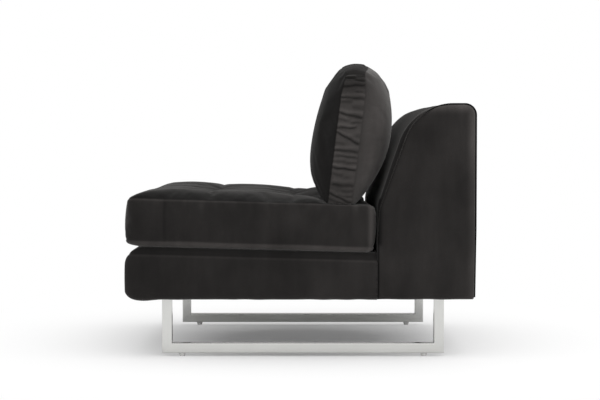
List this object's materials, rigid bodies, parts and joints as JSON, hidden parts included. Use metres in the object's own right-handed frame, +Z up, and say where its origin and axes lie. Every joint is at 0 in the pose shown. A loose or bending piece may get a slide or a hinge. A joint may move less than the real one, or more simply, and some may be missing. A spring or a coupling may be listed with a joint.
{
  "type": "armless sofa",
  "caption": "Armless one-seat sofa on steel sled legs, with a tufted loose seat cushion and a loose boxed back cushion in dark velvet.",
  "frame": {"origin": "on the floor, under the middle of the sofa's outer box", "axes": "+Z up, the seat faces -Y, +X is the sitter's left"},
  "size_m": [0.8, 0.87, 0.7305],
  "materials": {
    "polished_steel": "satin",
    "zinc_steel": "satin",
    "spring_steel": "satin",
    "glide_plastic": "matte",
    "plywood": "matte",
    "hardboard": "matte",
    "frame_wood": "matte",
    "foam": "matte",
    "fibre_filling": "matte",
    "felt": "matte",
    "dust_cloth": "matte",
    "webbing": "matte",
    "velvet": "matte"
  },
  "bodies": {
    "frame": {"back_bolt_nuts": "zinc_steel", "back_bolts": "zinc_steel", "back_crown_rail": "frame_wood", "back_front_cover": "velvet", "back_front_rail": "frame_wood", "back_mid_rail": "frame_wood", "back_padding": "foam", "back_rear_board": "hardboard", "back_rear_cover": "velvet", "back_side_cover_left": "velvet", "back_side_cover_right": "velvet", "back_side_frame_left": "plywood", "back_side_frame_right": "plywood", "back_top_rail": "frame_wood", "back_webbing": "webbing", "back_welt_left": "velvet", "back_welt_right": "velvet", "base_corner_blocks": "frame_wood", "base_cross_rail": "frame_wood", "base_front_rail": "frame_wood", "base_rear_rail": "frame_wood", "base_side_rail_left": "frame_wood", "base_side_rail_right": "frame_wood", "dust_cover": "dust_cloth", "glide_inserts": "zinc_steel", "leg_board_left": "plywood", "leg_board_right": "plywood", "seat_box_border": "velvet", "seat_box_padding": "foam", "seat_deck_cover": "velvet", "seat_springs": "spring_steel", "sled_left_bottom_rail": "polished_steel", "sled_left_front_leg": "polished_steel", "sled_left_rear_leg": "polished_steel", "sled_left_top_plate": "polished_steel", "sled_right_bottom_rail": "polished_steel", "sled_right_front_leg": "polished_steel", "sled_right_rear_leg": "polished_steel", "sled_right_top_plate": "polished_steel", "sled_screws": "zinc_steel", "sled_tee_nuts": "zinc_steel", "spring_clips": "zinc_steel", "spring_felt": "felt"},
    "seat_cushion": {"seat_cushion_top": "velvet", "seat_cushion_boxing": "velvet", "seat_cushion_bottom": "velvet", "seat_cushion_foam": "foam", "seat_cushion_ties": "webbing"},
    "back_cushion": {"back_cushion_front": "velvet", "back_cushion_rear": "velvet", "back_cushion_boxing": "velvet", "back_cushion_filling": "fibre_filling"},
    "glide_front_left": {"glide_pad_front_left": "glide_plastic", "glide_stem_front_left": "zinc_steel"},
    "glide_front_right": {"glide_pad_front_right": "glide_plastic", "glide_stem_front_right": "zinc_steel"},
    "glide_rear_left": {"glide_pad_rear_left": "glide_plastic", "glide_stem_rear_left": "zinc_steel"},
    "glide_rear_right": {"glide_pad_rear_right": "glide_plastic", "glide_stem_rear_right": "zinc_steel"}
  },
  "joints": [
    {"name": "seat_cushion_lift", "type": "slide", "parent": "frame", "child": "seat_cushion", "axis": [0, 0, 1], "range_m": [0, 0.4]},
    {"name": "back_cushion_lift", "type": "slide", "parent": "seat_cushion", "child": "back_cushion", "axis": [0, 0, 1], "range_m": [0, 0.35]},
    {"name": "glide_front_left_level", "type": "slide", "parent": "frame", "child": "glide_front_left", "axis": [0, 0, -1], "range_m": [0, 0.008]},
    {"name": "glide_front_right_level", "type": "slide", "parent": "frame", "child": "glide_front_right", "axis": [0, 0, -1], "range_m": [0, 0.008]},
    {"name": "glide_rear_left_level", "type": "slide", "parent": "frame", "child": "glide_rear_left", "axis": [0, 0, -1], "range_m": [0, 0.008]},
    {"name": "glide_rear_right_level", "type": "slide", "parent": "frame", "child": "glide_rear_right", "axis": [0, 0, -1], "range_m": [0, 0.008]}
  ]
}
